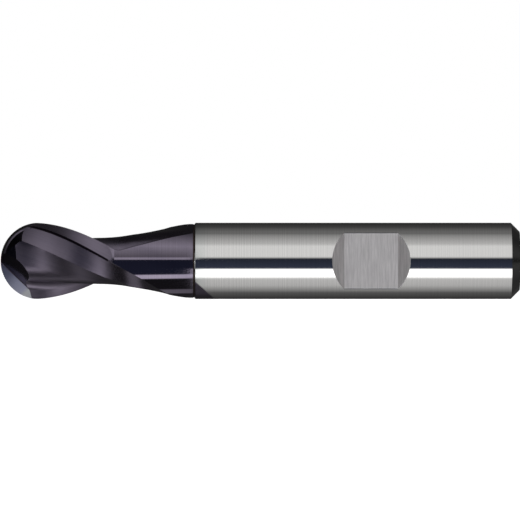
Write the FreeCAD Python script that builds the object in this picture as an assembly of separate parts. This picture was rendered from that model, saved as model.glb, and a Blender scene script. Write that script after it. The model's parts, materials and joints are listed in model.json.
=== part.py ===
import FreeCAD, Part
import math
import os

# Ball-nose end mill, 10 mm, two flutes, right-hand cut and right-hand 30 degree helix.
# A coated carbide cutting head is brazed into a ground steel shank with a side-lock flat.
# Millimetres and degrees.  +X runs from the tip to the rear end, the clamping flat faces -Y.
# The origin is on the tool's axis, level with the middle of the clamping flat.

# ---- overall sizes ----
TOOL_D = 10.0            # cutting diameter and shank diameter
TOOL_LEN = 68.0          # tip to rear end
FLAT_FROM_REAR = 19.5    # middle of the clamping flat to the rear end
CUT_LEN = 14.0           # full-diameter lands reach this far back from the tip
NECK_D = 9.68            # reduced neck behind the lands
NECK_RAMP = 1.0          # length of the slope from the lands down to the neck
HEAD_LEN = 25.3          # tip to the shoulder that seats on the shank

# ---- flutes ----
HELIX = 30.0             # helix angle at the cutting diameter
RAKE = 7.0               # radial rake of the cutting face
CORE_D = 5.34            # web thickness near the tip
CORE_GROW = 0.028        # growth of the web radius per millimetre toward the shank
FLUTE_FILLET = 1.0       # corner radius between the cutting face and the web
HEEL_SHARE = 0.814       # radius of the heel ridge as a share of the cutting radius
HEEL_TURN = 58.0         # heel ridge behind the cutting edge

# ---- lands ----
RELIEF = 12.0            # primary relief
LAND_W = 1.8             # width of the primary relief
STEP_W = 0.083           # width of the fine step behind the primary land
STEP_H = 0.20            # depth of that step
LIFT_START = 16.9        # the secondary relief begins to lift out of the neck here
LIFT_LEN = 6.5           # and is gone this much further back
LIFT = 0.8               # by then it has lifted this far

# ---- ball end ----
BALL_SPLIT = 4.1         # the primary relief round the ball meets the helical one here
BALL_SECOND = 41.0       # slope of the secondary relief round the ball
END_FLAT = 1.57          # height of the flat behind the end edge, level with the tip
END_FLAT_RISE = 28.0     # rise of that flat toward the shank
END_FLAT_TILT = 4.6      # and its tilt up toward the land
BALL_GRIND = 0.02        # metal left on the head's blank for the primary relief to take off
WEB_OFFSET = 0.12        # each gash passes the axis at this distance
GASH_ANGLE = 43.5        # gash valley to the tool's axis
GASH_WALL = 33.0         # lean of the gash wall away from the cutting face
GASH_FILLET = 0.2        # radius along the valley

# ---- braze joint ----
SPIGOT_D = 6.0           # plug on the head
SPIGOT_LEN = 8.0
SPIGOT_BEVEL = 0.3
NECK_BEVEL = 0.05        # broken edge of the neck where it meets the shank
BRAZE_RADIAL = 0.1       # braze film round the plug
BRAZE_AXIAL = 0.15       # braze film under the shoulder and under the plug's end

# ---- shank ----
FLAT_LEN = 7.0           # clamping flat along the tool
FLAT_HEIGHT = 8.4        # height measured over the flat
FLAT_FLANK = 45.0        # run-out slope at each end of the flat
FRONT_BEVEL = 0.12
REAR_BEVEL = 1.15

R = TOOL_D / 2.0
NECK_R = NECK_D / 2.0
CORE_R = CORE_D / 2.0
HEEL_R = HEEL_SHARE * R
SPIGOT_R = SPIGOT_D / 2.0
TIP_X = FLAT_FROM_REAR - TOOL_LEN
OUTSIDE = 1.5 * R         # the grinding cuts are closed off at this radius, clear of the blank
TURN_PER_MM = 360.0 * math.tan(math.radians(HELIX)) / (math.pi * TOOL_D)

# Run-out of each flute, behind the lands.  The columns are the distance from the tip as a share
# of the way from the land end to the shoulder, the turn of the flute's front rim in degrees, the
# web radius as a share of the neck radius, and the turn at which the flute floor leaves the web.
RUN_OUT = [
    (0.143, 16.4, 0.660, 100.5),
    (0.200, 18.0, 0.678, 97.0),
    (0.283, 21.4, 0.711, 92.0),
    (0.425, 26.7, 0.748, 88.0),
    (0.566, 32.3, 0.784, 84.0),
    (0.703, 37.6, 0.825, 80.0),
    (0.841, 41.8, 0.876, 75.0),
    (1.000, 44.8, 0.948, 67.0),
    (1.120, 46.5, 1.010, 61.0),
]


def point(s, along, across, turn):
    """Point in the cross-section at distance s from the tip, in axes turned with the tooth."""
    a = math.radians(turn)
    toward_flat = along * math.cos(a) - across * math.sin(a)
    up = along * math.sin(a) + across * math.cos(a)
    return FreeCAD.Vector(TIP_X + s, -toward_flat, up)


def polar(s, radius, turn):
    """Point at a radius and a turn, counted from the flat's side of the tool toward the top."""
    return point(s, radius, 0.0, turn)


def edge_turn(s):
    """Turn of the first tooth's cutting edge at distance s from the tip."""
    return 90.0 - TURN_PER_MM * (s - BALL_SPLIT)


def core_radius(s):
    return CORE_R + CORE_GROW * max(s, 0.0)


def leave_turn(core):
    """Turn ahead of the edge at which the flat behind the other tooth's heel touches the web."""
    return 180.0 - HEEL_TURN - math.degrees(math.acos(core / HEEL_R))


def flute_wire(s, turn, core, leave):
    """Cross-section of the space ground out ahead of one cutting edge."""
    rake = math.radians(RAKE)
    fillet = FLUTE_FILLET
    ahead_x = R - fillet * math.sin(rake)
    ahead_y = fillet * math.cos(rake)
    reach = core + fillet
    run = R * math.cos(rake)
    t = run - math.sqrt(run * run - ahead_x ** 2 - ahead_y ** 2 + reach * reach)
    cx = ahead_x - t * math.cos(rake)
    cy = ahead_y - t * math.sin(rake)
    start = (cx + fillet * math.sin(rake), cy - fillet * math.cos(rake))
    end = (cx * core / reach, cy * core / reach)
    to_start = math.atan2(start[1] - cy, start[0] - cx)
    to_end = math.atan2(end[1] - cy, end[0] - cx)
    if to_end > to_start:
        to_end -= 2.0 * math.pi
    half = 0.5 * (to_start + to_end)
    middle = (cx + fillet * math.cos(half), cy + fillet * math.sin(half))

    out = OUTSIDE - R
    rim = (R + out * math.cos(rake), out * math.sin(rake))
    a0 = math.degrees(math.atan2(end[1], end[0]))
    leave_angle = math.radians(leave)
    lx = core * math.cos(leave_angle)
    ly = core * math.sin(leave_angle)
    go = math.sqrt(OUTSIDE ** 2 - core ** 2)
    ox = lx - go * math.sin(leave_angle)
    oy = ly + go * math.cos(leave_angle)
    outer_mid = 0.5 * math.degrees(math.atan2(oy, ox))

    p_rim = point(s, rim[0], rim[1], turn)
    p_start = point(s, start[0], start[1], turn)
    p_middle = point(s, middle[0], middle[1], turn)
    p_end = point(s, end[0], end[1], turn)
    p_core = polar(s, core, turn + 0.5 * (a0 + leave))
    p_leave = point(s, lx, ly, turn)
    p_out = point(s, ox, oy, turn)
    p_outer = polar(s, OUTSIDE, turn + outer_mid)
    edges = [
        Part.makeLine(p_rim, p_start),
        Part.Arc(p_start, p_middle, p_end).toShape(),
        Part.Arc(p_end, p_core, p_leave).toShape(),
        Part.makeLine(p_leave, p_out),
        Part.Arc(p_out, p_outer, p_rim).toShape(),
    ]
    return Part.Wire(edges)


def flute_cutter():
    """Space of one flute, from ahead of the tip to past the shoulder."""
    wires = []
    s = -1.0
    while s < CUT_LEN + 0.9:
        core = core_radius(s)
        wires.append(flute_wire(s, edge_turn(s), core, leave_turn(core)))
        s += 1.0
    for share, rim_turn, web, leave in RUN_OUT:
        s = CUT_LEN + share * (HEAD_LEN - CUT_LEN)
        wires.append(flute_wire(s, rim_turn, web * NECK_R, leave - rim_turn))
    return Part.makeLoft(wires, True, False)


def primary_wire(s):
    """Cross-section of what the primary relief removes behind one edge."""
    turn = edge_turn(s)
    size = R
    if s < R:
        size = math.sqrt(R * R - (R - s) ** 2)
    k = size / R
    relief = math.tan(math.radians(RELIEF))
    lead = (size + 2.0 * relief * k, 2.0 * k)
    far = (size - 5.0 * relief * k, -5.0 * k)
    outer = polar(s, OUTSIDE, turn - 12.0)
    ahead = point(s, lead[0], lead[1], turn)
    behind = point(s, far[0], far[1], turn)
    edges = [Part.makeLine(ahead, behind), Part.Arc(behind, outer, ahead).toShape()]
    return Part.Wire(edges)


def secondary_wire(s):
    """Cross-section of what the secondary relief removes, from the fine step back past the heel."""
    turn = edge_turn(s)
    land_x = R - LAND_W * math.tan(math.radians(RELIEF))
    step = (land_x - STEP_H, -LAND_W - STEP_W)
    heel = math.radians(-HEEL_TURN)
    dx = HEEL_R * math.cos(heel) - step[0]
    dy = HEEL_R * math.sin(heel) - step[1]
    length = math.hypot(dx, dy)
    dx /= length
    dy /= length
    lift = LIFT * max(0.0, (s - LIFT_START) / LIFT_LEN) ** 2
    step = (step[0] - lift * dy, step[1] + lift * dx)
    past = length + 0.9 * R
    top = (step[0] + 10.0 * STEP_H, step[1] + 10.0 * STEP_W)
    corner = point(s, step[0], step[1], turn)
    upper = point(s, top[0], top[1], turn)
    behind = point(s, step[0] + past * dx, step[1] + past * dy, turn)
    outer = polar(s, OUTSIDE, turn - 50.0)
    edges = [
        Part.makeLine(upper, corner),
        Part.makeLine(corner, behind),
        Part.Arc(behind, outer, upper).toShape(),
    ]
    return Part.Wire(edges)


def lofted(wire_at, first, last, count):
    """Solid through evenly spaced cross-sections."""
    wires = [wire_at(first + (last - first) * i / count) for i in range(count + 1)]
    return Part.makeLoft(wires, True, False)


def end_flat():
    """What the flat behind the end edge of the upper tooth removes, beside the gash."""
    along = FreeCAD.Vector(1.0, -math.tan(math.radians(END_FLAT_RISE)), 0)
    up = FreeCAD.Vector(0, -math.tan(math.radians(END_FLAT_TILT)), 1.0)
    middle = FreeCAD.Vector(TIP_X, -END_FLAT, 0)
    near = middle - along * R
    beyond = middle + along * 2.0 * R
    outline = [near - up * R, beyond - up * R, beyond + up * R, near + up * R, near - up * R]
    return Part.Face(Part.makePolygon(outline)).extrude(FreeCAD.Vector(0, -2.0 * R, 0))


def end_relief():
    """What the end grinding removes round the ball: everything outside two blunt cones."""
    relief = math.tan(math.radians(RELIEF))
    fall = math.tan(math.radians(BALL_SECOND))
    v1 = LAND_W
    r1 = R - v1 * relief
    v2 = v1 + STEP_W
    r2 = r1 - STEP_H
    v3 = v2 + r2 / fall
    centre = TIP_X + R
    half = [(0.0, R), (v1, r1), (v2, r2), (v3, 0.0)]
    outline = [FreeCAD.Vector(centre + r, -v, 0) for v, r in half]
    outline += [FreeCAD.Vector(centre + r, v, 0) for v, r in reversed(half[1:-1])]
    outline.insert(4, FreeCAD.Vector(centre, v3, 0))
    outline.append(outline[0])
    face = Part.Face(Part.makePolygon(outline))
    lens = face.revolve(FreeCAD.Vector(centre, 0, 0), FreeCAD.Vector(0, 1, 0), 360)
    width = 3.0 * R
    corner = FreeCAD.Vector(TIP_X - 1.0, -width / 2.0, -width / 2.0)
    block = Part.makeBox(1.0 + BALL_SPLIT, width, width, corner)
    return block.cut(lens)


def gash():
    """Notch that opens the cutting face of the lower tooth across the ball, near to the axis."""
    a = math.radians(GASH_ANGLE)
    lean = math.radians(GASH_WALL)
    valley = FreeCAD.Vector(math.cos(a), 0, -math.sin(a))
    up = FreeCAD.Vector(math.sin(a), 0, math.cos(a))
    front = FreeCAD.Vector(0, -1, 0)
    origin = FreeCAD.Vector(TIP_X, 0, -WEB_OFFSET) - valley * (0.4 * R)

    def spot(b, c):
        return origin + up * b + front * c

    far = 2.0 * R
    between = 0.5 * (math.pi / 2.0 + lean)
    touch = GASH_FILLET / math.tan(between)
    centre = (-touch, GASH_FILLET)
    wall_touch = (touch * math.sin(lean), touch * math.cos(lean))
    to_wall = math.atan2(wall_touch[1] - centre[1], wall_touch[0] - centre[0])
    half = 0.5 * (to_wall - math.pi / 2.0)
    mid = (centre[0] + GASH_FILLET * math.cos(half), centre[1] + GASH_FILLET * math.sin(half))
    edges = [
        Part.makeLine(spot(-far, 0), spot(-touch, 0)),
        Part.Arc(spot(-touch, 0), spot(mid[0], mid[1]), spot(wall_touch[0], wall_touch[1])).toShape(),
        Part.makeLine(spot(wall_touch[0], wall_touch[1]), spot(far * math.tan(lean), far)),
        Part.makeLine(spot(far * math.tan(lean), far), spot(-far, far)),
        Part.makeLine(spot(-far, far), spot(-far, 0)),
    ]
    face = Part.Face(Part.Wire(edges))
    return face.extrude(valley * (2.2 * R))


def turned_over(shape):
    """The same shape half a turn round the tool's axis."""
    other = shape.copy()
    other.rotate(FreeCAD.Vector(0, 0, 0), FreeCAD.Vector(1, 0, 0), 180)
    return other


def make_head():
    """Carbide head: ball, lands, flutes, neck and the plug that is brazed into the shank."""
    shoulder = HEAD_LEN
    plug_end = HEAD_LEN + SPIGOT_LEN
    rough = R + BALL_GRIND
    ball_mid = FreeCAD.Vector(TIP_X + R - rough * math.sqrt(0.5), 0, rough * math.sqrt(0.5))
    tip = FreeCAD.Vector(TIP_X - BALL_GRIND, 0, 0)
    ball_end = FreeCAD.Vector(TIP_X + R, 0, rough)
    profile = [
        (R, rough),
        (CUT_LEN, rough),
        (CUT_LEN + NECK_RAMP, NECK_R),
        (shoulder - NECK_BEVEL, NECK_R),
        (shoulder, NECK_R - NECK_BEVEL),
        (shoulder, SPIGOT_R),
        (plug_end - SPIGOT_BEVEL, SPIGOT_R),
        (plug_end, SPIGOT_R - SPIGOT_BEVEL),
        (plug_end, 0.0),
        (-BALL_GRIND, 0.0),
    ]
    outline = [FreeCAD.Vector(TIP_X + s, 0, r) for s, r in profile]
    edges = [Part.Arc(tip, ball_mid, ball_end).toShape()]
    edges += [Part.makeLine(a, b) for a, b in zip(outline[:-1], outline[1:])]
    blank = Part.Face(Part.Wire(edges))
    head = blank.revolve(FreeCAD.Vector(0, 0, 0), FreeCAD.Vector(1, 0, 0), 360)
    head = head.cut(end_relief())
    relief_end = LIFT_START + LIFT_LEN + 0.4
    cutters = (
        flute_cutter(),
        lofted(primary_wire, BALL_SPLIT - 0.02, CUT_LEN + NECK_RAMP + 0.5, 12),
        lofted(secondary_wire, -1.0, relief_end, 26),
        end_flat(),
        gash(),
    )
    for cutter in cutters:
        head = head.cut(cutter)
        head = head.cut(turned_over(cutter))
    return head


def make_braze():
    """Braze film: a thin cup round the plug with a rim under the head's shoulder."""
    shoulder = HEAD_LEN
    seat = HEAD_LEN + BRAZE_AXIAL
    plug_end = HEAD_LEN + SPIGOT_LEN
    socket_r = SPIGOT_R + BRAZE_RADIAL
    profile = [
        (shoulder, SPIGOT_R),
        (shoulder, NECK_R - NECK_BEVEL),
        (seat, NECK_R - NECK_BEVEL),
        (seat, socket_r),
        (plug_end + BRAZE_AXIAL, socket_r),
        (plug_end + BRAZE_AXIAL, 0.0),
        (plug_end, 0.0),
        (plug_end, SPIGOT_R - SPIGOT_BEVEL),
        (plug_end - SPIGOT_BEVEL, SPIGOT_R),
        (shoulder, SPIGOT_R),
    ]
    outline = [FreeCAD.Vector(TIP_X + s, 0, r) for s, r in profile]
    film = Part.Face(Part.makePolygon(outline))
    return film.revolve(FreeCAD.Vector(0, 0, 0), FreeCAD.Vector(1, 0, 0), 360)


def make_shank():
    """Ground steel shank: socket for the head, side-lock flat with sloping ends, rear bevel."""
    front = TIP_X + HEAD_LEN + BRAZE_AXIAL
    rear = FLAT_FROM_REAR
    socket_r = SPIGOT_R + BRAZE_RADIAL
    socket_end = TIP_X + HEAD_LEN + SPIGOT_LEN + BRAZE_AXIAL
    floor = FLAT_HEIGHT - R
    depth = R - floor
    flat_start = -FLAT_LEN / 2.0 - depth / math.tan(math.radians(FLAT_FLANK)) - 0.15
    profile = [
        (front, socket_r),
        (front, R - FRONT_BEVEL),
        (front + FRONT_BEVEL, R),
        (flat_start, R),
        (rear - REAR_BEVEL, R),
        (rear, R - REAR_BEVEL),
        (rear, 0.0),
        (socket_end, 0.0),
        (socket_end, socket_r),
        (front, socket_r),
    ]
    outline = [FreeCAD.Vector(x, 0, r) for x, r in profile]
    bar = Part.Face(Part.makePolygon(outline))
    shank = bar.revolve(FreeCAD.Vector(0, 0, 0), FreeCAD.Vector(1, 0, 0), 360)

    rise = depth + 1.0
    spread = rise / math.tan(math.radians(FLAT_FLANK))
    half = FLAT_LEN / 2.0
    width = 1.2 * TOOL_D
    trapezium = [
        FreeCAD.Vector(-half, -floor, -width / 2.0),
        FreeCAD.Vector(half, -floor, -width / 2.0),
        FreeCAD.Vector(half + spread, -floor - rise, -width / 2.0),
        FreeCAD.Vector(-half - spread, -floor - rise, -width / 2.0),
        FreeCAD.Vector(-half, -floor, -width / 2.0),
    ]
    notch = Part.Face(Part.makePolygon(trapezium)).extrude(FreeCAD.Vector(0, 0, width))
    return shank.cut(notch)


def as_one_solid(shape):
    """The single solid of a shape; more or fewer than one is an error."""
    solids = shape.Solids
    if len(solids) != 1:
        raise ValueError("expected one solid, got %d" % len(solids))
    return solids[0]


os.makedirs("parts", exist_ok=True)
for name, make in (
    ("cutting_head", make_head),
    ("braze_joint", make_braze),
    ("shank", make_shank),
):
    solid = as_one_solid(make())
    solid.exportStep("parts/%s.step" % name)
    print(name, solid.isValid(), round(solid.Volume, 2), len(solid.Faces))
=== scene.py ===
# %% [markdown]
# # A coated ball-nose end mill
# An end mill is a hard rod with its cutting edges ground into one end.  This one has two flutes, a
# ball end and a dark hard coating.  The shank behind it is bare ground steel with a flat for the
# holder's clamping screw.  The CAD frame is loaded first, and every size below comes from it.

# %% Load the frame
import bpy
import json
import math
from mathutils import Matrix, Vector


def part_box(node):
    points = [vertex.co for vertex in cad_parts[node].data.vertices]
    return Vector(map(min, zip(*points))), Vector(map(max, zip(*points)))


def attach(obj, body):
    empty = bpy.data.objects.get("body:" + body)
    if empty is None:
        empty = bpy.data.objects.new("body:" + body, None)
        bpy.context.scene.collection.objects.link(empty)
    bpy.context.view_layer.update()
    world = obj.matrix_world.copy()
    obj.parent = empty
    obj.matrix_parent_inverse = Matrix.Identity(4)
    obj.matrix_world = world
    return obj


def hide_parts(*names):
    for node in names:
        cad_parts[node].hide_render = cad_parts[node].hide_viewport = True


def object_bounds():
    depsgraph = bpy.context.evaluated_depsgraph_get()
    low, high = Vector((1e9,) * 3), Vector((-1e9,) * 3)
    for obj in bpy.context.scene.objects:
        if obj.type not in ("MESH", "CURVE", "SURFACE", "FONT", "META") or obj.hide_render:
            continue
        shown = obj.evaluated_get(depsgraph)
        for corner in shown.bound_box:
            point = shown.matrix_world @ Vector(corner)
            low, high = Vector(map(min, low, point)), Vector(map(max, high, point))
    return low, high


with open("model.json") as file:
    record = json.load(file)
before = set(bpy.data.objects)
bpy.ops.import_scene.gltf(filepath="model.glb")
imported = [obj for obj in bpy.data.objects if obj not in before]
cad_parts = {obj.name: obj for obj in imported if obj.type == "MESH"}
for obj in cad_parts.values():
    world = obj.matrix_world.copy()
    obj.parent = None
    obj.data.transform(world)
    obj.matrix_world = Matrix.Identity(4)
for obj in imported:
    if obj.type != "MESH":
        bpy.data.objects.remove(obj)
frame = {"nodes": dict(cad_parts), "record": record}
CAD_LOW, CAD_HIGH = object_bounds()
MM = 0.001
print("CAD box in mm:", [round(v / MM, 2) for v in (*CAD_LOW, *CAD_HIGH)])

# %% Sizes read from the frame
head_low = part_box("cutting_head")[0]
shank_low, shank_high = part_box("shank")
TIP_X = head_low[0]
REAR_X = shank_high[0]
FRONT_X = shank_low[0]
RADIUS = shank_high[2]
LENGTH = REAR_X - TIP_X
mounts = {mount["name"]: mount for mount in frame["record"]["mounts"]}
FLAT_DEPTH = RADIUS + mounts["clamping_flat"]["pos_m"][1]
print("length", round(LENGTH / MM, 1), "mm, joint at", round(FRONT_X / MM, 2), "mm")

# %% [markdown]
# ## Two small helpers
# Colours are written as the sRGB hex values a paint chart gives, and one function turns them into
# the linear numbers that a shader wants.  The other function adds any node with its settings, so a
# whole material reads as a short list.

# %% Colour and node helpers


def linear(hex_colour):
    """Linear RGBA of an sRGB hex colour such as 'c0c4c8'."""
    channels = [int(hex_colour[i:i + 2], 16) / 255.0 for i in (0, 2, 4)]
    straight = [c / 12.92 if c <= 0.04045 else ((c + 0.055) / 1.055) ** 2.4 for c in channels]
    return (*straight, 1.0)


def add(tree, kind, links=None, **settings):
    """Adds a node, sets its properties, and links or fills its inputs by name or number."""
    node = tree.nodes.new(kind)
    for name, value in settings.items():
        setattr(node, name, value)
    for key, value in (links or {}).items():
        if isinstance(value, bpy.types.NodeSocket):
            tree.links.new(value, node.inputs[key])
        else:
            node.inputs[key].default_value = value
    return node


print("white is", linear("ffffff"))

# %% [markdown]
# ## The studio
# A polished cylinder shows nothing but its surroundings, so the light is designed as bands round the
# tool's axis: a wide soft panel above the lens, a dark gap where the lens looks through, a brighter
# panel below it, and dim walls behind.  Each band is a stop of a colour ramp over the direction's
# turn about the tool's axis.  A pile of area lamps could do the same, but their edges are harder to
# place.

# %% Bands of light round the tool
# Turn in degrees above the lens, brightness, and tint of each stop.
PLAIN = "ffffff"
NAVY = "a6b4e0"
BANDS = [
    (-180.0, 0.05, PLAIN),
    (-145.0, 0.05, PLAIN),
    (-112.0, 0.13, PLAIN),
    (-92.0, 0.42, PLAIN),
    (-80.0, 0.62, PLAIN),
    (-58.0, 0.72, PLAIN),
    (-52.0, 1.10, PLAIN),
    (-49.0, 2.40, PLAIN),
    (-27.0, 2.40, PLAIN),
    (-22.0, 0.12, NAVY),
    (6.5, 0.055, NAVY),
    (11.0, 0.75, PLAIN),
    (13.0, 0.95, PLAIN),
    (45.0, 0.95, PLAIN),
    (53.0, 0.68, PLAIN),
    (84.0, 0.33, PLAIN),
    (92.0, 0.19, PLAIN),
    (98.0, 0.20, PLAIN),
    (124.0, 0.07, PLAIN),
    (150.0, 0.032, PLAIN),
    (180.0, 0.05, PLAIN),
]


def band_ramp(tree, direction, bands):
    """Colour ramp over the turn of a direction about the tool's axis; returns colour and strength."""
    brightest = max(brightness for degrees, brightness, tint in bands)
    split = add(tree, "ShaderNodeSeparateXYZ", {0: direction})
    toward = add(tree, "ShaderNodeMath", {0: split.outputs["Y"], 1: -1.0}, operation="MULTIPLY")
    turn = add(
        tree, "ShaderNodeMath", {0: split.outputs["Z"], 1: toward.outputs[0]}, operation="ARCTAN2",
    )
    share = add(
        tree, "ShaderNodeMapRange",
        {"Value": turn.outputs[0], "From Min": -math.pi, "From Max": math.pi},
    )
    ramp = add(tree, "ShaderNodeValToRGB", {"Fac": share.outputs[0]})
    stops = ramp.color_ramp.elements
    while len(stops) < len(bands):
        stops.new(0.5)
    for stop, (degrees, brightness, tint) in zip(stops, bands):
        stop.position = (degrees + 180.0) / 360.0
        stop.color = [c * brightness / brightest for c in linear(tint)[:3]] + [1.0]
    return ramp.outputs[0], brightest


world = bpy.data.worlds.new("studio")
bpy.context.scene.world = world
world.use_nodes = True
sky = world.node_tree
sky.nodes.clear()
where = add(sky, "ShaderNodeTexCoord")
band_colour, band_strength = band_ramp(sky, where.outputs["Generated"], BANDS)
# The panels end beyond the tool's rear end, so what faces that way is darker.
END_FROM, END_TO = 0.35, 0.8     # share of a direction that points to the rear
END_LIGHT = 0.35                 # share of the light left there
sideways = add(sky, "ShaderNodeSeparateXYZ", {0: where.outputs["Generated"]})
ends = add(
    sky, "ShaderNodeMapRange",
    {
        "Value": sideways.outputs["X"], "From Min": END_FROM, "From Max": END_TO,
        "To Min": band_strength, "To Max": END_LIGHT * band_strength,
    },
)
studio = add(sky, "ShaderNodeBackground", {"Color": band_colour, "Strength": ends.outputs[0]})
backdrop = add(sky, "ShaderNodeBackground", {"Color": (1.0, 1.0, 1.0, 1.0), "Strength": 1.0})
path = add(sky, "ShaderNodeLightPath")
either = add(
    sky, "ShaderNodeMixShader",
    {0: path.outputs["Is Camera Ray"], 1: studio.outputs[0], 2: backdrop.outputs[0]},
)
add(sky, "ShaderNodeOutputWorld", {0: either.outputs[0]})
bpy.context.scene.view_settings.view_transform = "Standard"
print("studio bands:", len(BANDS))

# %% [markdown]
# ## A sleeve of panels round the head
# The neck shows narrower panels and darker gaps than the shank does, and one world cannot give both.
# So a short sleeve round the head carries the neck's own bands.  Only reflections see it: it is
# hidden from the lens, throws no shadow and does not light the floor.

# %% Sleeve of panels
SLEEVE_RADIUS = 60.0 * MM
SLEEVE_SIDES = 96
SLEEVE_REACH = 4.0 * SLEEVE_RADIUS   # how far it runs past the tip
SLEEVE_STOP = 0.8 * MM               # how far ahead of the joint it ends
FADE_FROM, FADE_TO = 10.0 * MM, 55.0 * MM
FADE_LIGHT = 0.12                    # share of the light left at its far end
SLEEVE_BANDS = [
    (-180.0, 0.03, PLAIN),
    (-120.0, 0.05, PLAIN),
    (-114.0, 0.42, PLAIN),
    (-98.0, 0.42, PLAIN),
    (-93.0, 0.03, PLAIN),
    (-55.0, 0.03, PLAIN),
    (-52.0, 1.75, PLAIN),
    (-42.0, 1.75, PLAIN),
    (-39.0, 0.12, NAVY),
    (3.0, 0.10, NAVY),
    (4.5, 1.12, PLAIN),
    (8.5, 1.12, PLAIN),
    (12.0, 0.36, PLAIN),
    (44.0, 0.95, PLAIN),
    (62.0, 0.62, PLAIN),
    (84.0, 0.28, PLAIN),
    (94.0, 0.03, PLAIN),
    (180.0, 0.02, PLAIN),
]
sleeve_ends = (TIP_X - SLEEVE_REACH, FRONT_X - SLEEVE_STOP)
ring = [2.0 * math.pi * i / SLEEVE_SIDES for i in range(SLEEVE_SIDES)]
circle = [(SLEEVE_RADIUS * math.cos(a), SLEEVE_RADIUS * math.sin(a)) for a in ring]
spots = [(x, y, z) for x in sleeve_ends for y, z in circle]
walls = []
for i in range(SLEEVE_SIDES):
    j = (i + 1) % SLEEVE_SIDES
    walls.append((i, j, SLEEVE_SIDES + j, SLEEVE_SIDES + i))
sleeve_mesh = bpy.data.meshes.new("light_sleeve")
sleeve_mesh.from_pydata(spots, [], walls)
sleeve = bpy.data.objects.new("light_sleeve", sleeve_mesh)
bpy.context.scene.collection.objects.link(sleeve)
sleeve.visible_camera = False
sleeve.visible_diffuse = False
sleeve.visible_shadow = False
glow = bpy.data.materials.new("soft_panel_light")
glow.use_nodes = True
glow_tree = glow.node_tree
glow_tree.nodes.clear()
glow_place = add(glow_tree, "ShaderNodeTexCoord")
glow_colour, glow_strength = band_ramp(glow_tree, glow_place.outputs["Object"], SLEEVE_BANDS)
# The panels fade past the tip, so what faces forward on the ball stays dark.
glow_xyz = add(glow_tree, "ShaderNodeSeparateXYZ", {0: glow_place.outputs["Object"]})
fade = add(
    glow_tree, "ShaderNodeMapRange",
    {
        "Value": glow_xyz.outputs["X"], "From Min": TIP_X - FADE_TO, "From Max": TIP_X - FADE_FROM,
        "To Min": FADE_LIGHT * glow_strength, "To Max": glow_strength,
    },
)
light = add(glow_tree, "ShaderNodeEmission", {"Color": glow_colour, "Strength": fade.outputs[0]})
add(glow_tree, "ShaderNodeOutputMaterial", {0: light.outputs[0]})
sleeve_mesh.materials.append(glow)
print("sleeve faces:", len(walls))

# %% [markdown]
# ## Camera
# A long lens keeps the tool's outline straight.  It looks square on to the clamping flat, from far
# enough away that the whole tool fits the frame.

# %% Camera
FRAME_SHARE = 1.0022     # the frame's width as a share of the tool's length
FRAME_WIDTH = LENGTH * FRAME_SHARE
MARGIN = 0.08 * MM
EYE_LEVEL = 0.12 * MM
camera_data = bpy.data.cameras.new("camera")
camera_data.lens = 400.0
camera_data.sensor_width = 36.0
camera_data.clip_start = 0.01
camera_data.clip_end = 10.0
camera = bpy.data.objects.new("camera", camera_data)
bpy.context.scene.collection.objects.link(camera)
distance = FRAME_WIDTH * camera_data.lens / camera_data.sensor_width
camera.location = (TIP_X - MARGIN + FRAME_WIDTH / 2.0, -distance, EYE_LEVEL)
camera.rotation_euler = (math.pi / 2.0, 0.0, 0.0)
bpy.context.scene.camera = camera
print("camera", round(distance, 3), "m away")

# %% [markdown]
# ## Floor
# The tool lies on a plain white table.  Polished steel would mirror the table as one broad white
# band, so the table is left out of reflections and the panels stay in them.

# %% Floor
FLOOR_HALF = 1.5
corners = [(-FLOOR_HALF, -FLOOR_HALF), (FLOOR_HALF, -FLOOR_HALF), (FLOOR_HALF, FLOOR_HALF)]
corners.append((-FLOOR_HALF, FLOOR_HALF))
floor_mesh = bpy.data.meshes.new("floor")
floor_mesh.from_pydata([(x, y, CAD_LOW[2]) for x, y in corners], [], [(0, 1, 2, 3)])
floor = bpy.data.objects.new("floor", floor_mesh)
bpy.context.scene.collection.objects.link(floor)
floor.visible_glossy = False
pale = bpy.data.materials.new("pale_table")
pale.use_nodes = True
pale_shader = pale.node_tree.nodes["Principled BSDF"]
pale_shader.inputs["Base Color"].default_value = linear("f4f4f4")
pale_shader.inputs["Roughness"].default_value = 0.9
pale_shader.inputs["Emission Color"].default_value = linear("ffffff")
pale_shader.inputs["Emission Strength"].default_value = 0.85
floor_mesh.materials.append(pale)
print("floor at", round(CAD_LOW[2] / MM, 2), "mm")

# %% [markdown]
# ## Where a point lies on the tool
# Every mark on this tool was left by a wheel that ran round it, along it or up its helix.  So each
# finish needs the same four measures of a point: its distance from the tip, its distance from the
# axis, its turn round the axis, and how far it lies behind the nearest cutting edge.  They come from
# Object coordinates, so they hold from every side.

# %% Measures round the axis
HELIX = 30.0
EDGE_START = 4.1
RADIUS_MM = RADIUS / MM


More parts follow.
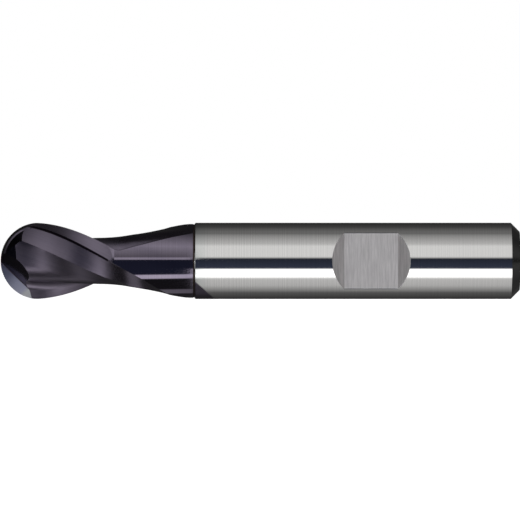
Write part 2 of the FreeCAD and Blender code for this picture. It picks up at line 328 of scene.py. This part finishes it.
def measures(tree):
    """Sockets in mm and radians: from the tip, off the axis, turn, behind the edge, Z and Y."""
    spot = add(tree, "ShaderNodeTexCoord")
    part = add(tree, "ShaderNodeSeparateXYZ", {0: spot.outputs["Object"]})
    tip = add(
        tree, "ShaderNodeMath", {0: part.outputs["X"], 1: 1.0 / MM, 2: -TIP_X / MM},
        operation="MULTIPLY_ADD",
    )
    flat = add(tree, "ShaderNodeCombineXYZ", {"Y": part.outputs["Y"], "Z": part.outputs["Z"]})
    off = add(tree, "ShaderNodeVectorMath", {0: flat.outputs[0]}, operation="LENGTH")
    off_mm = add(tree, "ShaderNodeMath", {0: off.outputs["Value"], 1: 1.0 / MM}, operation="MULTIPLY")
    toward = add(tree, "ShaderNodeMath", {0: part.outputs["Y"], 1: -1.0}, operation="MULTIPLY")
    turn = add(
        tree, "ShaderNodeMath", {0: part.outputs["Z"], 1: toward.outputs[0]}, operation="ARCTAN2",
    )
    per_mm = math.tan(math.radians(HELIX)) / RADIUS_MM
    twist = add(
        tree, "ShaderNodeMath", {0: tip.outputs[0], 1: per_mm, 2: -EDGE_START * per_mm - math.pi / 2},
        operation="MULTIPLY_ADD",
    )
    ahead = add(tree, "ShaderNodeMath", {0: turn.outputs[0], 1: twist.outputs[0]}, operation="ADD")
    back = add(tree, "ShaderNodeMath", {0: ahead.outputs[0], 1: -1.0}, operation="MULTIPLY")
    behind = add(tree, "ShaderNodeMath", {0: back.outputs[0], 1: math.pi}, operation="FLOORED_MODULO")
    height = add(tree, "ShaderNodeMath", {0: part.outputs["Z"], 1: 1.0 / MM}, operation="MULTIPLY")
    across = add(tree, "ShaderNodeMath", {0: part.outputs["Y"], 1: 1.0 / MM}, operation="MULTIPLY")
    return {
        "tip": tip.outputs[0], "off": off_mm.outputs[0], "turn": turn.outputs[0],
        "behind": behind.outputs[0], "height": height.outputs[0], "across": across.outputs[0],
    }


def between(tree, value, low, high):
    """Smooth mask of a value: 0 at low and 1 at high."""
    mask = add(
        tree, "ShaderNodeMapRange", {"Value": value, "From Min": low, "From Max": high},
        interpolation_type="SMOOTHSTEP",
    )
    return mask.outputs[0]


one_turn = 2.0 * math.pi * RADIUS_MM / math.tan(math.radians(HELIX))
print("one turn of helix in", round(one_turn, 1), "mm")

# %% [markdown]
# ## Coated ground carbide
# The head is tungsten carbide, ground with a diamond wheel and then coated in vacuum with a violet
# grey nitride a few thousandths of a millimetre thick.  The coating is metallic and follows every
# grinding line below it.  The flutes carry lines that run up the helix and look satin.  The neck was
# ground round and round, so its lines are rings and it shines more.

# %% Coated carbide material
GRIND_LINE = 0.16        # mm between lines; real ones are finer, but would not show
# Where one finish gives way to the next: from none to full, in mm from the tip or off the axis.
NECK_START = (14.5, 15.2)
NECK_RADII = (4.79, 4.83)
LANDS_STOP = (14.3, 14.1)
STEP_RADII = (4.2, 4.4)
BALL_END = (6.2, 5.8)
RUN_OUT = (12.5, 17.0)
# Where the painted highlight strip ahead of each edge lies.
PAINTED_HIGHLIGHT_STRIP = (8.5, 4.5)
PAINTED_HIGHLIGHT_RADII = (4.3, 4.9)
PAINTED_HIGHLIGHT_ANGLES = (140.0, 168.0)   # degrees behind the edge
STEP_ANGLES = (2.3, 1.3)             # degrees either side of the step
# Roughness of each.
NECK_ROUGH = 0.07
FACET_ROUGH = 0.14
RUN_OUT_ROUGH = 0.20
coated = bpy.data.materials.new("nitride_coated_ground_carbide")
coated.use_nodes = True
tree = coated.node_tree
coat = tree.nodes["Principled BSDF"]
coat.inputs["Metallic"].default_value = 1.0
at = measures(tree)

# The neck is the round part behind the lands, outside the flutes' run-out.
past_lands = between(tree, at["tip"], *NECK_START)
full_round = between(tree, at["off"], *NECK_RADII)
neck = add(tree, "ShaderNodeMath", {0: past_lands, 1: full_round}, operation="MULTIPLY")

# Lines up the helix: fine across it and long along it.
arc = add(tree, "ShaderNodeMath", {0: at["behind"], 1: RADIUS_MM}, operation="MULTIPLY")
along = add(tree, "ShaderNodeMath", {0: at["tip"], 1: 0.04}, operation="MULTIPLY")
helical = add(tree, "ShaderNodeCombineXYZ", {0: arc.outputs[0], 1: at["off"], 2: along.outputs[0]})
flute_lines = add(
    tree, "ShaderNodeTexNoise",
    {"Vector": helical.outputs[0], "Scale": 1.0 / GRIND_LINE, "Detail": 3.0, "Roughness": 0.6},
)
# Rings round the neck.
rings = add(
    tree, "ShaderNodeTexNoise", {"W": at["tip"], "Scale": 1.0 / GRIND_LINE, "Detail": 2.0},
    noise_dimensions="1D",
)
lines = add(
    tree, "ShaderNodeMix",
    {0: neck.outputs[0], 2: flute_lines.outputs["Fac"], 3: rings.outputs["Fac"]}, data_type="FLOAT",
)

# A dark shadow line lies in the fine step behind each land, as far as the lands reach.
LAND_STEP_AT = 22.5      # degrees behind the edge
off_step = add(
    tree, "ShaderNodeMath", {0: at["behind"], 1: math.radians(LAND_STEP_AT)}, operation="SUBTRACT",
)
step_gap = add(tree, "ShaderNodeMath", {0: off_step.outputs[0]}, operation="ABSOLUTE")
in_step = between(tree, step_gap.outputs[0], *[math.radians(a) for a in STEP_ANGLES])
on_lands = between(tree, at["tip"], *LANDS_STOP)
outside = between(tree, at["off"], *STEP_RADII)
step_mask = add(tree, "ShaderNodeMath", {0: in_step, 1: on_lands}, operation="MULTIPLY")
step_mask = add(tree, "ShaderNodeMath", {0: step_mask.outputs[0], 1: outside}, operation="MULTIPLY")

# The facets that face forward on the ball were cut by a finer wheel: the flats behind the end edges,
# the walls of the gashes and the relief round the ball.  Their normals lean toward the tip.  The
# floor of each gash is the cutting face.  It lies through the axis and faces square to the side, and
# the second tooth's is the first one's after half a turn.
normal = add(tree, "ShaderNodeTexCoord")
lean = add(tree, "ShaderNodeSeparateXYZ", {0: normal.outputs["Normal"]}).outputs
side = add(tree, "ShaderNodeMath", {0: lean["Y"]}, operation="SIGN")
side = add(tree, "ShaderNodeMath", {0: side.outputs[0], 1: -1.0}, operation="MULTIPLY")
near_y = add(tree, "ShaderNodeMath", {0: lean["Y"], 1: side.outputs[0]}, operation="MULTIPLY")
forward = between(tree, lean["X"], -0.22, -0.42)
on_ball = between(tree, at["tip"], *BALL_END)
fine_facet = add(tree, "ShaderNodeMath", {0: forward, 1: on_ball}, operation="MULTIPLY")
square_on = between(tree, near_y.outputs[0], -0.985, -0.995)
depth_mm = add(tree, "ShaderNodeMath", {0: at["across"]}, operation="ABSOLUTE")
through_axis = between(tree, depth_mm.outputs[0], 0.15, 0.08)
cutting_face = add(tree, "ShaderNodeMath", {0: square_on, 1: through_axis}, operation="MULTIPLY")

# The cutting face is painted from deep blue at the tip to white at the ball's shoulder, a painted
# reflection with a painted white highlight near the shoulder.
GASH_ANGLE = math.radians(43.5)
fore = add(tree, "ShaderNodeMath", {0: at["tip"], 1: math.cos(GASH_ANGLE)}, operation="MULTIPLY")
drop = add(tree, "ShaderNodeMath", {0: at["height"], 1: side.outputs[0]}, operation="MULTIPLY")
down_gash = add(
    tree, "ShaderNodeMath", {0: drop.outputs[0], 1: -math.sin(GASH_ANGLE), 2: fore.outputs[0]},
    operation="MULTIPLY_ADD",
)
gash_share = add(tree, "ShaderNodeMapRange", {"Value": down_gash.outputs[0], "From Max": 7.0})
gash_painted_reflection = add(tree, "ShaderNodeValToRGB", {"Fac": gash_share.outputs[0]})
# Stops of the painted reflection, with the painted white highlight from 0.75 to 0.90.
GASH_PAINTED_REFLECTION = [
    (0.0, "4a4a5e"),
    (0.30, "8688a0"),
    (0.50, "c2c4da"),
    (0.68, "dcdcf0"),
    (0.75, "ffffff"),
    (0.90, "ffffff"),
]
while len(gash_painted_reflection.color_ramp.elements) < len(GASH_PAINTED_REFLECTION):
    gash_painted_reflection.color_ramp.elements.new(0.5)
for stop, (place, hex_colour) in zip(gash_painted_reflection.color_ramp.elements, GASH_PAINTED_REFLECTION):
    stop.position = place
    stop.color = linear(hex_colour)

# The coating's colour drifts a little, as thin nitride does.
cloud = add(
    tree, "ShaderNodeTexNoise", {"Vector": helical.outputs[0], "Scale": 0.35, "Detail": 2.0},
)
shade = add(tree, "ShaderNodeValToRGB", {"Fac": cloud.outputs["Fac"]})
shade.color_ramp.elements[0].position = 0.3
shade.color_ramp.elements[0].color = linear("736c7b")
shade.color_ramp.elements[1].position = 0.7
shade.color_ramp.elements[1].color = linear("807886")
lined = add(
    tree, "ShaderNodeMapRange", {"Value": lines.outputs[0], "To Min": 0.82, "To Max": 1.15},
)
toned = add(
    tree, "ShaderNodeVectorMath", {0: shade.outputs[0], "Scale": lined.outputs[0]}, operation="SCALE",
)
finish = add(
    tree, "ShaderNodeMix",
    {0: step_mask.outputs[0], 6: toned.outputs[0], 7: linear("1d171f")}, data_type="RGBA",
)
# Ahead of each edge, on the flute's cutting face, a strip is painted paler over its first stretch: a
# painted highlight where that face is lit from below.
painted_highlight_strip = between(tree, at["behind"], *[math.radians(a) for a in PAINTED_HIGHLIGHT_ANGLES])
painted_highlight_stretch = between(tree, at["tip"], *PAINTED_HIGHLIGHT_STRIP)
painted_highlight_rim = between(tree, at["off"], *PAINTED_HIGHLIGHT_RADII)
painted_highlight_strip = add(tree, "ShaderNodeMath", {0: painted_highlight_strip, 1: painted_highlight_stretch}, operation="MULTIPLY")
painted_highlight_strip = add(
    tree, "ShaderNodeMath", {0: painted_highlight_strip.outputs[0], 1: painted_highlight_rim}, operation="MULTIPLY",
)
finish = add(
    tree, "ShaderNodeMix",
    {0: painted_highlight_strip.outputs[0], 6: finish.outputs[2], 7: linear("d6d2e6")}, data_type="RGBA",
)
# The cutting face takes the painted reflection.
finish = add(
    tree, "ShaderNodeMix",
    {0: cutting_face.outputs[0], 6: finish.outputs[2], 7: gash_painted_reflection.outputs[0]}, data_type="RGBA",
)
tree.links.new(finish.outputs[2], coat.inputs["Base Color"])
# The flutes shine more toward the neck, where they run out.
satin = add(
    tree, "ShaderNodeMapRange", {"Value": lines.outputs[0], "To Min": 0.32, "To Max": 0.46},
)
run_out = between(tree, at["tip"], *RUN_OUT)
gloss = add(
    tree, "ShaderNodeMix", {0: run_out, 2: satin.outputs[0], 3: RUN_OUT_ROUGH}, data_type="FLOAT",
)
gloss = add(
    tree, "ShaderNodeMix", {0: neck.outputs[0], 2: gloss.outputs[0], 3: NECK_ROUGH},
    data_type="FLOAT",
)
gloss = add(
    tree, "ShaderNodeMix", {0: fine_facet.outputs[0], 2: gloss.outputs[0], 3: FACET_ROUGH},
    data_type="FLOAT",
)
tree.links.new(gloss.outputs[0], coat.inputs["Roughness"])
line_depth = add(
    tree, "ShaderNodeMapRange",
    {"Value": neck.outputs[0], "To Min": 0.012 * MM, "To Max": 0.002 * MM},
)
relief = add(
    tree, "ShaderNodeBump",
    {"Height": lines.outputs[0], "Strength": 0.35, "Distance": line_depth.outputs[0]},
)
tree.links.new(relief.outputs[0], coat.inputs["Normal"])
print("coated carbide nodes:", len(tree.nodes))

# %% [markdown]
# ## Braze metal
# The film that holds the head is taken as a copper-silver alloy, dull and brown after the furnace.
# Only its rim shows, as a dark line between the neck and the shank.

# %% Braze material
braze = bpy.data.materials.new("furnace_dulled_braze")
braze.use_nodes = True
tree = braze.node_tree
alloy = tree.nodes["Principled BSDF"]
alloy.inputs["Metallic"].default_value = 1.0
at = measures(tree)
blotch = add(tree, "ShaderNodeTexNoise", {"W": at["turn"], "Scale": 2.5}, noise_dimensions="1D")
brown = add(tree, "ShaderNodeValToRGB", {"Fac": blotch.outputs["Fac"]})
brown.color_ramp.elements[0].color = linear("241d22")
brown.color_ramp.elements[1].color = linear("5a4c42")
tree.links.new(brown.outputs[0], alloy.inputs["Base Color"])
dull = add(tree, "ShaderNodeMapRange", {"Value": blotch.outputs["Fac"], "To Min": 0.4, "To Max": 0.6})
tree.links.new(dull.outputs[0], alloy.inputs["Roughness"])
print("braze nodes:", len(tree.nodes))

# %% [markdown]
# ## Ground steel
# The shank is hardened steel, ground between centres to a mirror with faint rings.  The clamping flat
# was ground across with a coarser wheel, so it scatters light and looks pale where the round bar looks
# dark; its colour is painted paler as well.  Beside the joint the bar's colour is painted faintly teal,
# and one corner of it is painted dark.  Both are painted here, as a heat tint and as stray coating,
# though on a real tool they may be reflections.

# %% Ground steel material
FLAT_EDGE = RADIUS_MM - 0.03
RING_LINE = 0.13         # mm between rings, coarser than real ones so that they show
STREAK_LINE = 0.20       # mm between the streaks across the flat
FLAT_REACH = 5.4         # mm from the flat's middle to past the end of its flanks
FLAT_FADE = 0.1
TINT_REACH = (2.4, 0.2)  # mm behind the joint, from no tint to full
TINT_SHARE = 0.18
# Roughness of the corner painted dark.
DARK_CORNER_ROUGH = 0.34
steel = bpy.data.materials.new("cylindrically_ground_steel")
steel.use_nodes = True
tree = steel.node_tree
bar = tree.nodes["Principled BSDF"]
bar.inputs["Metallic"].default_value = 1.0
at = measures(tree)
joint_mm = (FRONT_X - TIP_X) / MM
flat_from = -TIP_X / MM - FLAT_REACH
flat_to = -TIP_X / MM + FLAT_REACH

# The flat and its flanks lie inside the bar's radius, away from both ends.
inside = between(tree, at["off"], FLAT_EDGE, FLAT_EDGE - 0.02)
after = between(tree, at["tip"], flat_from, flat_from + FLAT_FADE)
before = between(tree, at["tip"], flat_to, flat_to - FLAT_FADE)
on_flat = add(tree, "ShaderNodeMath", {0: inside, 1: after}, operation="MULTIPLY")
on_flat = add(tree, "ShaderNodeMath", {0: on_flat.outputs[0], 1: before}, operation="MULTIPLY")

# Measured as distance from the tip plus distance off the axis, rings run round the bar and also
# round the rear face, where the end was faced in the lathe.
outline_way = add(tree, "ShaderNodeMath", {0: at["tip"], 1: at["off"]}, operation="ADD")
rings = add(
    tree, "ShaderNodeTexNoise", {"W": outline_way.outputs[0], "Scale": 1.0 / RING_LINE, "Detail": 2.0},
    noise_dimensions="1D",
)
drift = add(tree, "ShaderNodeMath", {0: at["height"], 1: 0.05}, operation="MULTIPLY")
across = add(tree, "ShaderNodeCombineXYZ", {0: at["tip"], 1: drift.outputs[0]})
streaks = add(
    tree, "ShaderNodeTexNoise",
    {"Vector": across.outputs[0], "Scale": 1.0 / STREAK_LINE, "Detail": 4.0, "Roughness": 0.7},
)
marks = add(
    tree, "ShaderNodeMix",
    {0: on_flat.outputs[0], 2: rings.outputs["Fac"], 3: streaks.outputs["Fac"]}, data_type="FLOAT",
)

# Teal tint that fades over the first two millimetres.
tint = between(tree, at["tip"], joint_mm + TINT_REACH[0], joint_mm + TINT_REACH[1])
tint = add(tree, "ShaderNodeMath", {0: tint, 1: TINT_SHARE}, operation="MULTIPLY")
bright_bar = add(tree, "ShaderNodeValToRGB", {"Fac": marks.outputs[0]})
bright_bar.color_ramp.elements[0].position = 0.25
bright_bar.color_ramp.elements[0].color = linear("c9c8c7")
bright_bar.color_ramp.elements[1].position = 0.75
bright_bar.color_ramp.elements[1].color = linear("d5d4d2")
tinted = add(
    tree, "ShaderNodeMix",
    {0: tint.outputs[0], 6: bright_bar.outputs[0], 7: linear("93a6a4")}, data_type="RGBA",
)
# The flat scatters more light than the bar, and its streaks show as light and dark lines.  Its colour is
# also painted paler than the bar's, a painted brightening for the light it scatters.
streaks_and_painted_pale = add(tree, "ShaderNodeValToRGB", {"Fac": streaks.outputs["Fac"]})
streaks_and_painted_pale.color_ramp.elements[0].position = 0.30
streaks_and_painted_pale.color_ramp.elements[0].color = linear("d0cdcd")
streaks_and_painted_pale.color_ramp.elements[1].position = 0.70
streaks_and_painted_pale.color_ramp.elements[1].color = linear("f4f1f1")
tinted = add(
    tree, "ShaderNodeMix",
    {0: on_flat.outputs[0], 6: tinted.outputs[2], 7: streaks_and_painted_pale.outputs[0]}, data_type="RGBA",
)
# A corner painted dark: below a slanting line that starts at the joint.
DARK_CORNER_TOP = -2.63        # mm, its upper edge at the joint
DARK_CORNER_SLOPE = 0.88       # and how fast that edge falls away from it
slant = add(
    tree, "ShaderNodeMath",
    {0: at["tip"], 1: DARK_CORNER_SLOPE, 2: -DARK_CORNER_SLOPE * joint_mm - DARK_CORNER_TOP}, operation="MULTIPLY_ADD",
)
above = add(tree, "ShaderNodeMath", {0: at["height"], 1: slant.outputs[0]}, operation="ADD")
dark_corner = between(tree, above.outputs[0], 0.12, -0.12)
coloured = add(
    tree, "ShaderNodeMix",
    {0: dark_corner, 6: tinted.outputs[2], 7: linear("5d5663")}, data_type="RGBA",
)
tree.links.new(coloured.outputs[2], bar.inputs["Base Color"])
round_gloss = add(
    tree, "ShaderNodeMapRange", {"Value": rings.outputs["Fac"], "To Min": 0.05, "To Max": 0.10},
)
flat_gloss = add(
    tree, "ShaderNodeMapRange", {"Value": streaks.outputs["Fac"], "To Min": 0.40, "To Max": 0.62},
)
gloss = add(
    tree, "ShaderNodeMix",
    {0: on_flat.outputs[0], 2: round_gloss.outputs[0], 3: flat_gloss.outputs[0]}, data_type="FLOAT",
)
gloss = add(
    tree, "ShaderNodeMix", {0: dark_corner, 2: gloss.outputs[0], 3: DARK_CORNER_ROUGH}, data_type="FLOAT",
)
tree.links.new(gloss.outputs[0], bar.inputs["Roughness"])
depth = add(
    tree, "ShaderNodeMapRange",
    {"Value": on_flat.outputs[0], "To Min": 0.0010 * MM, "To Max": 0.010 * MM},
)
relief = add(
    tree, "ShaderNodeBump",
    {"Height": marks.outputs[0], "Strength": 0.4, "Distance": depth.outputs[0]},
)
tree.links.new(relief.outputs[0], bar.inputs["Normal"])
print("ground steel nodes:", len(tree.nodes))

# %% [markdown]
# ## The shank as a rule
# The shank is a turned bar: one outline swept round the axis, then one flat ground away.  That is a
# rule, so Geometry Nodes can hold it: eight outline points from named sizes, a sweep round a circle,
# and a Boolean for the flat.

# %% Shank node tree
SIZES = {
    "Radius": RADIUS,
    "Front": FRONT_X,
    "Rear": REAR_X,
    "Front Bevel": 0.12 * MM,
    "Rear Bevel": 1.15 * MM,
    "Socket Radius": 3.1 * MM,
    "Socket Depth": 8.0 * MM,
    "Flat Length": 7.0 * MM,
    "Flat Depth": FLAT_DEPTH,
}
SEGMENTS = 360
turned_bar = bpy.data.node_groups.new("turned_bar", "GeometryNodeTree")
face = turned_bar.interface
face.new_socket("Geometry", in_out="OUTPUT", socket_type="NodeSocketGeometry")
for name in SIZES:
    face.new_socket(name, in_out="INPUT", socket_type="NodeSocketFloat")
face.new_socket("Segments", in_out="INPUT", socket_type="NodeSocketInt")
face.new_socket("Material", in_out="INPUT", socket_type="NodeSocketMaterial")
given = add(turned_bar, "NodeGroupInput").outputs
print("inputs:", [socket.name for socket in given][:-1])

# %% Outline of the bar
inner = add(
    turned_bar, "ShaderNodeMath", {0: given["Radius"], 1: given["Front Bevel"]}, operation="SUBTRACT",
).outputs[0]
past_bevel = add(
    turned_bar, "ShaderNodeMath", {0: given["Front"], 1: given["Front Bevel"]}, operation="ADD",
).outputs[0]
rear_start = add(
    turned_bar, "ShaderNodeMath", {0: given["Rear"], 1: given["Rear Bevel"]}, operation="SUBTRACT",
).outputs[0]
rear_rim = add(
    turned_bar, "ShaderNodeMath", {0: given["Radius"], 1: given["Rear Bevel"]}, operation="SUBTRACT",
).outputs[0]
socket_end = add(
    turned_bar, "ShaderNodeMath", {0: given["Front"], 1: given["Socket Depth"]}, operation="ADD",
).outputs[0]
OUTLINE = [
    (socket_end, 0.0),
    (socket_end, given["Socket Radius"]),
    (given["Front"], given["Socket Radius"]),
    (given["Front"], inner),
    (past_bevel, given["Radius"]),
    (rear_start, given["Radius"]),
    (given["Rear"], rear_rim),
    (given["Rear"], 0.0),
]
columns = add(turned_bar, "ShaderNodeMath", {0: given["Segments"], 1: 1.0}, operation="ADD").outputs[0]
number = add(turned_bar, "GeometryNodeInputIndex")
nudged = add(turned_bar, "ShaderNodeMath", {0: number.outputs[0], 1: 0.5}, operation="ADD")
which = add(turned_bar, "ShaderNodeMath", {0: nudged.outputs[0], 1: columns}, operation="DIVIDE")
which = add(turned_bar, "ShaderNodeMath", {0: which.outputs[0]}, operation="FLOOR")
pick = add(turned_bar, "GeometryNodeIndexSwitch", {"Index": which.outputs[0]}, data_type="VECTOR")
while len(pick.index_switch_items) < len(OUTLINE):
    pick.index_switch_items.new()
for i, (x, r) in enumerate(OUTLINE):
    corner = add(turned_bar, "ShaderNodeCombineXYZ", {"X": x, "Y": r})
    turned_bar.links.new(corner.outputs[0], pick.inputs[i + 1])
chosen = add(turned_bar, "ShaderNodeSeparateXYZ", {0: pick.outputs[0]}).outputs
print("outline points:", len(OUTLINE))

# %% Sweep
# A grid is rolled up: its columns take their turn round X and its rows take an outline point each.
WELD = 0.001 * MM        # points nearer than this become one
step = add(
    turned_bar, "ShaderNodeMath", {0: number.outputs[0], 1: columns}, operation="FLOORED_MODULO",
)
one_step = add(
    turned_bar, "ShaderNodeMath", {0: 2.0 * math.pi, 1: given["Segments"]}, operation="DIVIDE",
)
angle = add(
    turned_bar, "ShaderNodeMath", {0: step.outputs[0], 1: one_step.outputs[0]}, operation="MULTIPLY",
)
spoke = add(turned_bar, "ShaderNodeCombineXYZ", {"X": chosen["X"], "Y": chosen["Y"]})
rolled = add(
    turned_bar, "ShaderNodeVectorRotate",
    {"Vector": spoke.outputs[0], "Axis": (1.0, 0.0, 0.0), "Angle": angle.outputs[0]},
)
sheet = add(
    turned_bar, "GeometryNodeMeshGrid",
    {"Size X": 1.0, "Size Y": 1.0, "Vertices X": len(OUTLINE), "Vertices Y": columns},
)
swept = add(
    turned_bar, "GeometryNodeSetPosition", {"Geometry": sheet.outputs[0], "Position": rolled.outputs[0]},
)
bar_body = add(
    turned_bar, "GeometryNodeMergeByDistance", {"Geometry": swept.outputs[0], "Distance": WELD},
)
bar_body = add(turned_bar, "GeometryNodeFlipFaces", {"Mesh": bar_body.outputs[0]})
print("swept by", bar_body.bl_idname)

# %% Ground flat
# The wheel's space is a block whose outer end is wider, which leaves the sloping flanks.
CLEAR = 1.0 * MM
BLOCK_SHARE = 2.4        # the block's width as a share of the bar's radius
block_depth = add(
    turned_bar, "ShaderNodeMath", {0: given["Flat Depth"], 1: CLEAR}, operation="ADD",
).outputs[0]
block_width = add(
    turned_bar, "ShaderNodeMath", {0: given["Radius"], 1: BLOCK_SHARE}, operation="MULTIPLY",
).outputs[0]
block_size = add(
    turned_bar, "ShaderNodeCombineXYZ", {"X": given["Flat Length"], "Y": block_depth, "Z": block_width},
)
block = add(turned_bar, "GeometryNodeMeshCube", {"Size": block_size.outputs[0]})
here = add(turned_bar, "GeometryNodeInputPosition")
here_xyz = add(turned_bar, "ShaderNodeSeparateXYZ", {0: here.outputs[0]}).outputs
outer = add(turned_bar, "ShaderNodeMath", {0: here_xyz["Y"], 1: 0.0}, operation="LESS_THAN")
side = add(turned_bar, "ShaderNodeMath", {0: here_xyz["X"]}, operation="SIGN")
flare = add(turned_bar, "ShaderNodeMath", {0: side.outputs[0], 1: block_depth}, operation="MULTIPLY")
flare_move = add(turned_bar, "ShaderNodeCombineXYZ", {"X": flare.outputs[0]})
flared = add(
    turned_bar, "GeometryNodeSetPosition",
    {"Geometry": block.outputs[0], "Selection": outer.outputs[0], "Offset": flare_move.outputs[0]},
)
half_depth = add(turned_bar, "ShaderNodeMath", {0: block_depth, 1: 0.5}, operation="MULTIPLY")
floor_of_flat = add(
    turned_bar, "ShaderNodeMath", {0: given["Flat Depth"], 1: given["Radius"]}, operation="SUBTRACT",
)
block_at = add(
    turned_bar, "ShaderNodeMath", {0: floor_of_flat.outputs[0], 1: half_depth.outputs[0]},
    operation="SUBTRACT",
)
block_move = add(turned_bar, "ShaderNodeCombineXYZ", {"Y": block_at.outputs[0]})
wheel_space = add(
    turned_bar, "GeometryNodeTransform",
    {"Geometry": flared.outputs[0], "Translation": block_move.outputs[0]},
)
ground = add(
    turned_bar, "GeometryNodeMeshBoolean",
    {"Mesh 1": bar_body.outputs[0], "Mesh 2": wheel_space.outputs[0]},
    operation="DIFFERENCE", solver="EXACT",
)
print("flat", round(SIZES["Flat Length"] / MM, 1), "mm long")

# %% Sharp edges, material and output
SHARP = math.radians(20.0)
soft = add(turned_bar, "GeometryNodeSetShadeSmooth", {0: ground.outputs[0], 2: True}, domain="FACE")
bend = add(turned_bar, "GeometryNodeInputMeshEdgeAngle")
crisp = add(
    turned_bar, "ShaderNodeMath", {0: bend.outputs["Unsigned Angle"], 1: SHARP},
    operation="GREATER_THAN",
)
edged = add(
    turned_bar, "GeometryNodeSetShadeSmooth", {0: soft.outputs[0], 1: crisp.outputs[0], 2: False},
    domain="EDGE",
)
real = add(turned_bar, "GeometryNodeRealizeInstances", {0: edged.outputs[0]})
painted = add(
    turned_bar, "GeometryNodeSetMaterial", {"Geometry": real.outputs[0], "Material": given["Material"]},
)
add(turned_bar, "NodeGroupOutput", {"Geometry": painted.outputs[0]})
print("tree nodes:", len(turned_bar.nodes))

# %% Shank piece
# The modifier's inputs are set by identifier, and its result becomes a plain mesh.
seed = bpy.data.objects.new("shank_tree_holder", bpy.data.meshes.new("shank_tree_holder"))
bpy.context.scene.collection.objects.link(seed)
maker = seed.modifiers.new("turned_bar", "NODES")
maker.node_group = turned_bar
for item in face.items_tree:
    if item.in_out == "INPUT":
        if item.name in SIZES:
            maker[item.identifier] = SIZES[item.name]
        elif item.name == "Segments":
            maker[item.identifier] = SEGMENTS
        elif item.name == "Material":
            maker[item.identifier] = steel
bpy.context.view_layer.update()
evaluated = seed.evaluated_get(bpy.context.evaluated_depsgraph_get())
shank_mesh = bpy.data.meshes.new_from_object(evaluated)
bpy.data.objects.remove(seed)
shank_mesh.name = "ground_shank"
ground_shank = bpy.data.objects.new("ground_shank", shank_mesh)
bpy.context.scene.collection.objects.link(ground_shank)
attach(ground_shank, "root")
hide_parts("shank")
print("shank:", len(shank_mesh.vertices), "points,", len(shank_mesh.polygons), "faces")

# %% [markdown]
# ## Materials on the CAD pieces
# The head's flutes and relief facets are exact in the CAD model, so its own mesh stays and only its
# material changes.  Only a plain ring of the braze film shows, and its mesh stays as well.

# %% Head and braze
for name, finish_of_piece in (("cutting_head", coated), ("braze_joint", braze)):
    piece = frame["nodes"][name]
    piece.data.materials.clear()
    piece.data.materials.append(finish_of_piece)
    print(name, "wears", finish_of_piece.name)
